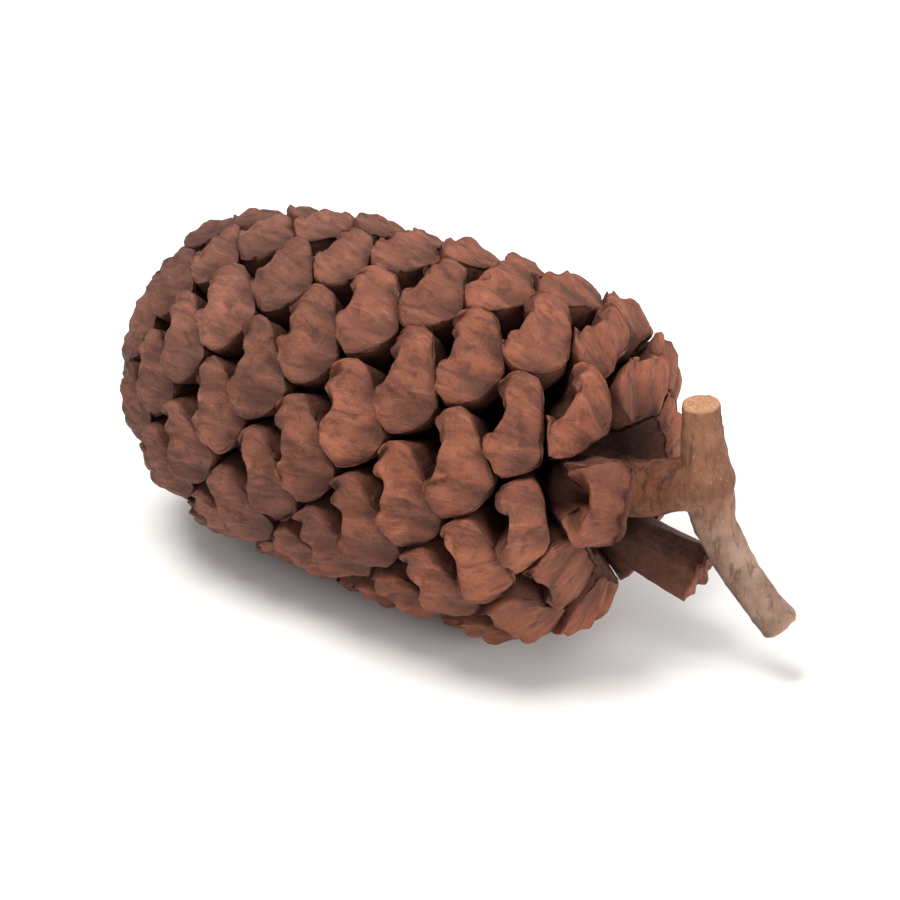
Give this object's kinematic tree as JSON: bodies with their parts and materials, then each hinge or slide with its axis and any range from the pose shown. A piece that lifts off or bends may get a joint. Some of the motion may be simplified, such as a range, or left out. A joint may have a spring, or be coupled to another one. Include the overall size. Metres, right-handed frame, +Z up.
{
  "type": "alder cone",
  "caption": "Small egg-shaped woody seed cone of an alder with a stub of twig, lying on its side: a natural piece for craft, decoration or a nature tray.",
  "frame": {"origin": "centre of the bounding box, at the surface the cone lies on", "axes": "+X from the closed tip to the stalk end, along the cone; +Y away from the viewer; +Z up from the surface the cone lies on"},
  "size_m": [0.0198, 0.0098, 0.0096],
  "materials": {
    "scale": "dry matt reddish brown woody scale",
    "twig": "dry matt tan to greyish brown bark with pale cut ends"
  },
  "bodies": {
    "root": {"stalk_and_axis": "twig", "scale_01": "scale", "scale_02": "scale", "scale_03": "scale", "scale_04": "scale", "scale_05": "scale", "scale_06": "scale", "scale_07": "scale", "scale_08": "scale", "scale_09": "scale", "scale_10": "scale", "scale_11": "scale", "scale_12": "scale", "scale_13": "scale", "scale_14": "scale", "scale_15": "scale", "scale_16": "scale", "scale_17": "scale", "scale_18": "scale", "scale_19": "scale", "scale_20": "scale", "scale_21": "scale", "scale_22": "scale", "scale_23": "scale", "scale_24": "scale", "scale_25": "scale", "scale_26": "scale", "scale_27": "scale", "scale_28": "scale", "scale_29": "scale", "scale_30": "scale", "scale_31": "scale", "scale_32": "scale", "scale_33": "scale", "scale_34": "scale", "scale_35": "scale", "scale_36": "scale", "scale_37": "scale", "scale_38": "scale", "scale_39": "scale", "scale_40": "scale", "scale_41": "scale", "scale_42": "scale", "scale_43": "scale", "scale_44": "scale", "scale_45": "scale", "scale_46": "scale", "scale_47": "scale", "scale_48": "scale", "scale_49": "scale", "scale_50": "scale", "scale_51": "scale", "scale_52": "scale", "scale_53": "scale", "scale_54": "scale", "scale_55": "scale", "scale_56": "scale", "scale_57": "scale", "scale_58": "scale", "closed_tip": "scale"}
  },
  "joints": []
}
